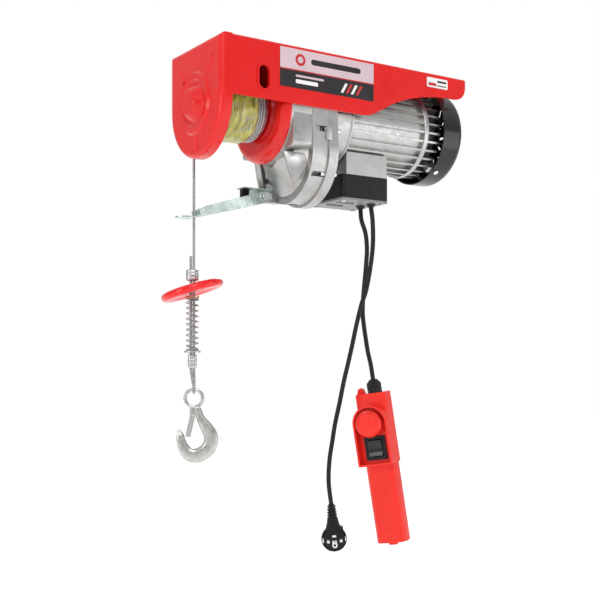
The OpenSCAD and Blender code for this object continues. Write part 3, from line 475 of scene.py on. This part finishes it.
def plug_pieces():
    """Moulded angled plug: round body, knurled rim, ribbed strain relief, earth contacts and two pins."""
    out = AT_PLUG @ TOWARDS_FACE
    body_profile = [(0, -9), (15.5, -9), (18.2, -7.6), (19.4, -5), (19.5, 3.5), (18.7, 5.6), (17.6, 6.2),
                    (17.2, 4.6), (16.2, 4.4), (16.2, 8.6), (14.8, 9), (0, 9)]
    body = lathe("plug_body", body_profile, BLACK_PLASTIC, out, 72)
    place(body, ROOT, "mains_plug")
    neck_rings = []
    neck_sections = ((6, 13.5, 8.4), (14, 12.6, 8.6), (20, 10.6, 8.2), (27, 8.8, 7.6), (31, 8.2, 7.4))
    for z, half_x, half_y in neck_sections:
        outline = round_rect(-half_x, -half_y, half_x, half_y, min(half_x, half_y) * 0.8)
        neck_rings.append([AT_PLUG @ mm(x, y, z) for x, y in outline])
    neck = new_object("plug_neck", *skin(neck_rings), BLACK_PLASTIC, 45)
    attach(neck, ROOT)
    profile = [(0, 29)]
    for k in range(5):
        z, r = 30.4 + 4.4 * k, 8.2 - 0.42 * k
        profile += [(r - 0.5, z), (r, z + 0.4), (r, z + 2.2), (r - 0.5, z + 2.6), (r - 1.9, z + 2.9),
                    (r - 1.9, z + 4.0)]
    profile += [(5.2, 53), (0, 53)]
    relief = lathe("plug_strain_relief", profile, RUBBER, AT_PLUG, 48, 35)
    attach(relief, ROOT)
    pieces = [body, neck, relief]
    rim_verts, rim_faces = [], []
    for k in range(22):
        a = math.radians(118 + 6 * k)
        across = Vector((-math.sin(a), math.cos(a), 0))
        middle = Vector((math.cos(a), math.sin(a), 0)) * 19.4
        base = len(rim_verts)
        for h in (-6, 4.5):
            for u, lift in ((-0.7, -0.3), (-0.35, 0.45), (0.35, 0.45), (0.7, -0.3)):
                p = middle + across * u + middle.normalized() * lift
                rim_verts.append(out @ mm(p.x, p.y, h))
        rim_faces += [(base + i, base + i + 1, base + i + 5, base + i + 4) for i in range(3)]
        rim_faces += [(base + 3, base, base + 4, base + 7), (base + 3, base + 2, base + 1, base),
                      (base + 4, base + 5, base + 6, base + 7)]
    rim = new_object("plug_knurling", rim_verts, rim_faces, BLACK_PLASTIC)
    tidy_mesh(rim)
    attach(rim, ROOT)
    pieces.append(rim)
    clip_outline = [(-3.6, -1.5), (3.6, -1.5), (3.6, -5), *arc(0, -9, 4, 20, -200, 14), (-3.6, -5)]
    clip = extruded("plug_earth_clip", clip_outline, 8.4, 9.6, BRIGHT, out, 0.25)
    hole = lathe("plug_earth_hole", [(0, 9.3), (2.1, 9.3), (2.1, 9.8), (1.9, 9.9), (0, 9.9)], BLACK_GLOSS,
                 out @ Matrix.Translation(mm(0, -9, 0)), 32)
    for piece in (clip, hole):
        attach(piece, ROOT)
        pieces.append(piece)
    # Side earth springs, a moulded spine between neck and body, and the shoulder at the neck's right
    for side in (-1, 1):
        tag = "left" if side < 0 else "right"
        contact = [(side * 16.4, -4), (side * 18.2, -3.2), (side * 18.2, 3.2), (side * 16.4, 4)]
        spring = extruded(f"plug_side_spring_{tag}", contact, 5.2, 9.3, BRIGHT, out, 0.2)
        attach(spring, ROOT)
        pieces.append(spring)
    spine = extruded("plug_spine", [(-2.6, 12), (2.6, 12), (1.3, 27), (-1.3, 27)], 7.6, 9.6, BLACK_PLASTIC,
                     out, 0.5)
    window = extruded("plug_window", [(-3.4, 3.4), (3.4, 3.4), (2.2, 6.4), (-2.2, 6.4)], 8.6, 9.15,
                      LABEL_WHITE, out, 0.1)
    shoulder = extruded("plug_shoulder", [(8, 9), (15, 9), (14.6, 18.5), (8, 18.5)], -6.5, 6.5,
                        BLACK_PLASTIC, out, 0.9)
    for piece in (spine, window, shoulder):
        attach(piece, ROOT)
        pieces.append(piece)
    for side in (-1, 1):
        pin = lathe(f"plug_pin_{'left' if side < 0 else 'right'}",
                    [(0, 8.5), (2.4, 8.5), (2.4, 26.2), (1.9, 27.4), (0, 28)], BRIGHT,
                    out @ Matrix.Translation(mm(side * 9.5, 0, 0)), 32)
        place(pin, ROOT, "plug_pins")
        pieces.append(pin)
    return pieces


plug = plug_pieces()


# ---------- wire rope ----------

ROPE_R = 2
ROPE_LAY = 26
STRANDS = 6


def strand_radius(angle):
    """Outline of six strands laid round a core, as a share of the rope's radius."""
    step = TAU / STRANDS
    off = (angle + step / 2) % step - step / 2
    centre, r = 0.66, 0.34
    return centre * math.cos(off) + math.sqrt(max(0, r * r - (centre * math.sin(off)) ** 2))


def wire_rope(name, line, body, *replaced, per_strand=6, step=1.6, start=0.0):
    """Laid rope along a line in millimetres: the strands' outline turns once in each lay length."""
    line = resample(line, step)
    count = STRANDS * per_strand
    walked, rings = start, []
    for i, (p, (_, u, v)) in enumerate(zip(line, frames_along(line))):
        if i:
            walked += (p - line[i - 1]).length
        twist = TAU * walked / ROPE_LAY
        ring = []
        for k in range(count):
            a = TAU * k / count
            r = ROPE_R * strand_radius(a)
            ring.append((p + r * (math.cos(a + twist) * u + math.sin(a + twist) * v)) * MM)
        rings.append(ring)
    obj = new_object(name, *skin(rings), WIRE, 60)
    if body:
        place(obj, body, *replaced)
    return obj


def rope_point(x, y, z):
    return (AT_ROPE @ mm(x, y, z)) / MM


WRAPPED_X0 = -193       # from here the outer turns lie side by side
WRAPPED_X1 = -145
CORE_X0 = -195
BARE_R = 42             # turns at the gear end that the film leaves bare
# Down the fall, through the hook's eye and back up beside itself
BLOCK_LINE = smooth([rope_point(*p) for p in [
    (0, 0, FALL_LOW), (0, 0, -380), (0, 0, -440), (0, 0, -456), (0, 4, -470), (0, 5, -482.05),
    (0, 4.25, -488.65), (0, 0, -491.05), (0, -4.25, -488.65), (0, -5, -482.05), (-2.25, -4, -470),
    (-PAIR, 0, -456), (-PAIR, 0, -440), (-PAIR, 0, -380), (-PAIR, 0, -292)]], 12)


def drum_helix(radius, x0, x1, turns, start_angle=0.0):
    """A helix round the drum, from the point level with the axis on the +Y side."""
    steps = int(turns * 48)
    out = []
    for i in range(steps + 1):
        a = start_angle + TAU * turns * i / steps
        out.append(Vector((x0 + (x1 - x0) * i / steps, radius * math.cos(a), AXIS_Z + radius * math.sin(a))))
    return out


def rope_pieces():
    high, low = (FALL_X, LAY_R, AXIS_Z), (FALL_X, LAY_R, FALL_LOW)
    fall = wire_rope("hoist_rope_fall", [Vector(high), Vector(low)], None)
    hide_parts("rope_fall")
    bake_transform(fall)
    wire_rope("hoist_rope_end_loop", BLOCK_LINE, "hook_block", "rope_loop", step=1.3, start=AXIS_Z - FALL_LOW)
    outer = drum_helix(LAY_R, FALL_X, WRAPPED_X0, 1) + drum_helix(LAY_R, WRAPPED_X0, WRAPPED_X1, 12)[1:]
    wire_rope("drum_rope_outer_turns", outer, "drum", "rope_windings", per_strand=4, step=3)
    bare = drum_helix(BARE_R, -140, -127.4, 3.15, 0.4)
    wire_rope("drum_rope_bare_turns", bare, "drum", per_strand=5, step=2)
    core_profile = [(30, CORE_X0), (43.6, CORE_X0), (43.6, -142), (40.6, -141), (40.6, -126.2), (30, -126.2),
                    (30, CORE_X0)]
    core = lathe("drum_rope_inner_layers", core_profile, WIRE, AT_MOTOR, 96)
    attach(core, "drum")


rope_pieces()


def film_piece():
    """Stretch film over the new rope: it follows the turns, creases along the drum and bulges low down."""
    rng = random.Random(7)
    creases = [(rng.randint(3, 19), rng.uniform(0, TAU), rng.uniform(0.10, 0.42), rng.uniform(0.02, 0.12))
               for _ in range(14)]
    x0, x1 = CORE_X0, -140.5
    across, around = 84, 220
    rings = []
    for i in range(across + 1):
        share = i / across
        x = x0 + (x1 - x0) * share
        ends = min(1, share / 0.06, (1 - share) / 0.10)
        ring = []
        for k in range(around):
            a = TAU * k / around
            r = 47.0 + 0.22 * math.cos(TAU * (x - WRAPPED_X0) / (2 * ROPE_R))
            r += sum(h * math.sin(n * a + phase + slope * (x - x0)) for n, phase, h, slope in creases) * 0.45
            low = max(0, math.cos(a + 2.0)) ** 2 * max(0, 1 - share * 1.6)
            r += 2.6 * low + 0.8 * noise.noise(Vector((x * 0.05, 3 * math.cos(a), 3 * math.sin(a))))
            r -= (1 - ends) * (2.4 if share < 0.5 else 3.0)
            ragged = 0.8 * math.sin(5 * a + 1.3) * (share > 0.9)
            ring.append(mm(x + ragged, r * math.cos(a), AXIS_Z + r * math.sin(a)))
        rings.append(ring)
    verts, faces = skin(rings, caps=False)
    obj = new_object("packing_film_wrap", verts, faces, FILM, 50)
    thick = obj.modifiers.new("thickness", "SOLIDIFY")
    thick.thickness = 0.3 * MM
    thick.offset = -1
    apply_modifiers(obj)
    place(obj, "drum", "packing_film")


film_piece()


# ---------- hook block ----------

def ferrule(name, low, height, radius):
    """Pressed oval sleeve over the two ropes, with shallow crimp bands and rounded ends."""
    rings = []
    steps = 24
    for i in range(steps + 1):
        t = i / steps
        swell = math.sin(math.pi * t) ** 0.35 if 0 < t < 1 else 0
        crimp = 0.35 * max(0, math.cos(TAU * 3 * t)) if 0.12 < t < 0.88 else 0
        r = radius - 1.3 + 1.3 * swell - crimp
        outline = arc(PAIR / 2, 0, r, -90, 90, 14) + arc(-PAIR / 2, 0, r, 90, 270, 14)
        rings.append([AT_ROPE @ mm(x - PAIR / 2, y, low + height * t) for x, y in outline])
    obj = new_object(name, *skin(rings), ALLOY, 50)
    return place(obj, "hook_block", "rope_ferrules")


ferrule("upper_ferrule", -328, 16, 7)
ferrule("lower_ferrule", -455, 20, 4.5)


def buffer_spring():
    """Compression spring with closed ends, between the lower washer and the stop disc."""
    low, top, r, wire, turns = -430, -353, 8.6, 0.95, 11
    closed, rise = 0.08, 1.2        # share of the length in each closed end, and how far it climbs
    line = []
    steps = turns * 40
    for i in range(steps + 1):
        t = i / steps
        eased = min(max((t - closed) / (1 - 2 * closed), 0), 1)
        height = low + wire + rise * (min(t / closed, 1) + max(0, (t - 1 + closed) / closed))
        height += (top - low - 2 * wire - 2 * rise) * eased
        a = TAU * turns * t
        line.append(AT_ROPE @ mm(r * math.cos(a) - PAIR / 2, r * math.sin(a), height))
    obj = tube("buffer_spring_coil", line, wire * MM, SPRING_STEEL, 10)
    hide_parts("buffer_spring")
    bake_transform(obj)


buffer_spring()


def stop_disc():
    """Thick moulded disc with a rolled rim, a raised hub and a shallow dished ring on both sides."""
    place_disc = AT_ROPE @ Matrix.Translation(mm(-PAIR / 2, 0, -342)) @ turn(-17, "Y")
    profile = [(7.6, -1.3), (7.6, 2.6), (9, 3.3), (13, 3.5), (15.5, 2.9), (20, 2.3), (26, 2.2), (33, 3.9),
               (37, 5.3), *arc(40.5, 0, 6, 76, -76, 18), (37, -5.4), (35.6, -5.0), (34.8, -4.5), (26, -2.7),
               (16, -1.4), (12, -2.4), (9, -2.4), (7.6, -1.3)]
    obj = lathe("stop_disc_moulding", profile, DISC_PLASTIC, place_disc, 128, 40)
    place(obj, "stop_disc", "stop_disc")


stop_disc()

# The hook's centre line from shank to tip: x, z, half width in its plane, half thickness across it
HOOK_SECTIONS = [
    (6, -15, 4.5, 3.4), (10, -29, 6, 5.2), (18, -42, 9, 6.0), (24, -53, 10, 6.4), (25, -63, 10.2, 6.5),
    (21, -73, 10.4, 6.5), (12, -80.5, 10.6, 6.5), (2, -83.5, 10.6, 6.5), (-8, -80.5, 9.8, 6.4),
    (-15, -72, 8, 6.0), (-18.6, -62, 6.6, 5.4), (-20, -54, 5.2, 4.6), (-23, -45, 1.8, 1.6)]
EYE_R = 12.75
EYE_WIRE = 2.5


def load_hook():
    """Forged hook: an oval section, thickest round the bowl and thin at the tip, with an eye and a lug."""
    line = smooth([Vector((x, 0, z)) for x, z, _, _ in HOOK_SECTIONS], 10)
    half = smooth([Vector((half, 0, 0)) for _, _, half, _ in HOOK_SECTIONS], 10)
    thick = smooth([Vector((deep, 0, 0)) for _, _, _, deep in HOOK_SECTIONS], 10)
    rings, sides = [], 40
    for i, p in enumerate(line):
        t = (line[min(i + 1, len(line) - 1)] - line[max(i - 1, 0)]).normalized()
        u, v = Vector((t.z, 0, -t.x)), Vector((0, 1, 0))
        ring = []
        for k in range(sides):
            a = TAU * k / sides
            c, s = math.cos(a), math.sin(a)
            across = math.copysign(abs(c) ** 0.72, c)
            deep = math.copysign(abs(s) ** 0.66, s)
            ring.append((AT_HOOK @ ((p + u * half[i].x * across + v * thick[i].x * deep) * MM)))
        rings.append(ring)
    body = new_object("hook_forging", *skin(rings), GALVANISED, 60)
    place(body, "hook", "load_hook")
    rings = []
    for k in range(96):
        a = TAU * k / 96
        outward = Vector((math.cos(a), 0, math.sin(a)))
        rings.append([AT_HOOK @ ((EYE_R * outward + EYE_WIRE * (math.cos(b) * outward
                                                                + math.sin(b) * Vector((0, 1, 0)))) * MM)
                      for b in (TAU * j / 24 for j in range(24))])
    rings.append(rings[0])
    verts, faces = skin(rings, caps=False)
    eye = new_object("hook_eye_ring", verts, faces, GALVANISED)
    tidy_mesh(eye, 60)
    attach(eye, "hook")
    lug = [(-6, -12.6), (9, -12.6), (11, -26), (6, -24), (3, -28), (-5, -27.5), (-6, -20)]
    ear = extruded("hook_lug", lug, -2.5, 2.5, GALVANISED, AT_HOOK @ TOWARDS_FACE, 0.8)
    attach(ear, "hook")


load_hook()


# ---------- details on the body ----------

SIDE_Y = -76.4          # just inside the label's own surface


def side_mark(name, outline, material, proud=0.12):
    """A thin printed shape on the label side; its outline is in (x, z)."""
    to_side = Matrix.Translation(mm(0, SIDE_Y, 0)) @ TOWARDS_FACE
    mark = extruded(name, outline, 0, proud, material, to_side, 0)
    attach(mark, ROOT)


def box_outline(x0, z0, x1, z1):
    return [(x0, z0), (x1, z0), (x1, z1), (x0, z1)]


def label_marks():
    """Generic label: a pale band over a dark one, with a ring, bars and stripes in place of print."""
    side_mark("label_pale_band", box_outline(-126, -34, 38, -5), LABEL_PALE)
    side_mark("label_red_rule", box_outline(-126, -35.6, 38, -34), LABEL_RED, 0.16)
    side_mark("label_title_bar", round_rect(-74, -23.5, 14, -15.5, 3.9), LABEL_DARK, 0.2)
    ring = arc(-92, -19.5, 8.5, 0, 360, 40)[:-1]
    side_mark("label_ring", ring, LABEL_RED, 0.2)
    side_mark("label_ring_middle", arc(-92, -19.5, 4.6, 0, 360, 32)[:-1], LABEL_PALE, 0.26)
    side_mark("label_short_bar", round_rect(-100, -44, -52, -41, 1.4), LABEL_PALE, 0.2)
    side_mark("label_long_bar", round_rect(-100, -53, -62, -47.5, 1.6), LABEL_WHITE, 0.2)
    for k in range(4):
        x = -22 + 9 * k
        side_mark(f"label_stripe_{k}", [(x, -55), (x + 4.5, -55), (x + 12.5, -41), (x + 8, -41)],
                  LABEL_RED if k % 2 else LABEL_WHITE, 0.2)
    side_mark("sticker_face", round_rect(141, -22, 183, -7, 2), LABEL_WHITE)
    side_mark("sticker_red_bar", box_outline(144, -19.5, 160, -15), LABEL_RED, 0.2)
    side_mark("sticker_dark_bar", box_outline(162, -13.5, 180, -10.5), LABEL_DARK, 0.2)
    side_mark("sticker_thin_bar", box_outline(162, -19, 180, -17.4), LABEL_DARK, 0.2)


label_marks()


def cast_piece(name, outline, low, high, to_world, width):
    piece = extruded(name, outline, low, high, CAST, to_world, width)
    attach(piece, ROOT)


def casting_details():
    """Cheek, gusset and flange rib that the gear case has on both sides."""
    along_x = turn(90, "Z") @ turn(90, "X")
    pivot = mm(80, 0, 150)
    for side in (-1, 1):
        tag = "left" if side < 0 else "right"
        cheek = [(side * y, z) for y, z in ((71.4, AXIS_Z), (71.4, -134), (69, -138), (64, -139.5),
                                            (40, -139.5), (48, AXIS_Z))]
        cast_piece(f"gearcase_cheek_{tag}", cheek, -100.5, -55, along_x, 1.6)
        gusset = [(-99, -141), (-60, -146), (-64, -163), (-82, -190), (-91, -170)]
        lean = Matrix.Translation(mm(0, side * 46, 0) - pivot) @ turn(side * 30, "Z")
        lean = lean @ Matrix.Translation(pivot) @ TOWARDS_FACE
        cast_piece(f"gearcase_gusset_{tag}", gusset, -5, 5, lean, 1.4)
        rib = [(side * y, z) for y, z in ((75.6, -96), (75.6, -126), (70, -126), (70, -96))]
        cast_piece(f"flange_rib_{tag}", rib, -46, -36, along_x, 0.8)


casting_details()


def pendant_details():
    """Grip lines across the handle's front and flutes round the gland nut."""
    for k in range(13):
        z = -140 - 6.4 * k
        line = extruded(f"grip_line_{k:02d}", round_rect(-10, z - 0.6, 10, z + 0.6, 0.55), 17.9, 18.35,
                        RED_PLASTIC, AT_PENDANT @ TOWARDS_FACE, 0.12)
        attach(line, ROOT)
    centre_x, centre_y = 4, 3
    flutes, count, ridges = [], 144, 24
    for h, base in ((4.8, 10.2), (5.6, 11.0), (14.4, 11.0), (15.8, 10.3)):
        ring = []
        for k in range(count):
            a = TAU * k / count
            r = base + 0.3 * math.cos(ridges * a)
            ring.append(AT_PENDANT @ mm(centre_x + r * math.cos(a), centre_y + r * math.sin(a), h))
        flutes.append(ring)
    nut = new_object("gland_nut_flutes", *skin(flutes), BLACK_PLASTIC, 40)
    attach(nut, ROOT)


pendant_details()


def motor_rims():
    """Cast rims at both ends of the motor's fins."""
    front = [(58, 6), (66.4, 6), (67.2, 7), (67.2, 9.6), (66.4, 10.6), (58, 10.6), (58, 6)]
    rear = [(58, 145.8), (66.6, 145.8), (67.2, 146.6), (67.2, 153), (66.6, 153.8), (58, 153.8), (58, 145.8)]
    for name, profile in (("bell_rim", front), ("stator_rear_rim", rear)):
        rim = lathe(name, profile, CAST, AT_MOTOR, 128)
        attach(rim, ROOT)


motor_rims()


# ---------- light, floor and finish ----------

def area_light(name, at, look_at, size, power):
    data = bpy.data.lights.new(name, "AREA")
    data.energy = power
    data.size = size
    light = bpy.data.objects.new(name, data)
    bpy.context.scene.collection.objects.link(light)
    light.location = at
    light.rotation_euler = (Vector(look_at) - Vector(at)).to_track_quat("-Z", "Y").to_euler()


def make_world():
    """White to the camera. All else sees dark below, a bright band at eye level and white overhead."""
    world = bpy.data.worlds.new("studio")
    bpy.context.scene.world = world
    world.use_nodes = True
    tree = world.node_tree
    link = tree.links.new
    background = tree.nodes["Background"]
    where = add(tree, "ShaderNodeTexCoord")
    split = add(tree, "ShaderNodeSeparateXYZ")
    link(where.outputs["Generated"], split.inputs["Vector"])
    ramp = add(tree, "ShaderNodeValToRGB")
    stops = ramp.color_ramp.elements
    stops.new(0.42)
    stops.new(0.58)
    for stop, value in zip(stops, (0.07, 0.80, 0.42, 1)):
        stop.color = (value, value, value, 1)
    remap = add(tree, "ShaderNodeMapRange", {"From Min": -1, "From Max": 1})
    link(split.outputs["Z"], remap.inputs["Value"])
    link(remap.outputs["Result"], ramp.inputs["Fac"])
    rays = add(tree, "ShaderNodeLightPath")
    mix = add(tree, "ShaderNodeMix", data_type="RGBA")
    link(rays.outputs["Is Camera Ray"], mix.inputs["Factor"])
    link(ramp.outputs["Color"], mix.inputs["A"])
    mix.inputs["B"].default_value = (1, 1, 1, 1)
    link(mix.outputs["Result"], background.inputs["Color"])


def make_floor():
    """A plain white floor below the hanging parts, lit a little from within so that it has no horizon."""
    half, drop = 8, 0.25
    white = surface("floor_white", (0.92, 0.92, 0.92), 0.8, vary=0.01, depth=0.005)
    shader = white.node_tree.nodes["Principled BSDF"]
    shader.inputs["Emission Color"].default_value = (1, 1, 1, 1)
    shader.inputs["Emission Strength"].default_value = 0.35
    corners = [(-half, -half, 0), (half, -half, 0), (half, half, 0), (-half, half, 0)]
    floor = new_object("studio_floor", corners, [(0, 1, 2, 3)], white)
    floor.location.z = cad_box[0].z - drop


bpy.context.scene.view_settings.view_transform = "Standard"
make_world()
middle, motor = (cad_box[0] + cad_box[1]) / 2, Vector((0, 0, -0.1))
area_light("key", (-1.1, -1.6, 0.95), motor, 0.9, 14)
area_light("side_strip", (-1.7, -0.2, -0.05), motor, 0.5, 5)
area_light("fill", (1.5, -1.7, -0.3), middle, 1.2, 7)
area_light("rim", (0.9, 1.5, 0.7), motor, 1.0, 10)
make_floor()
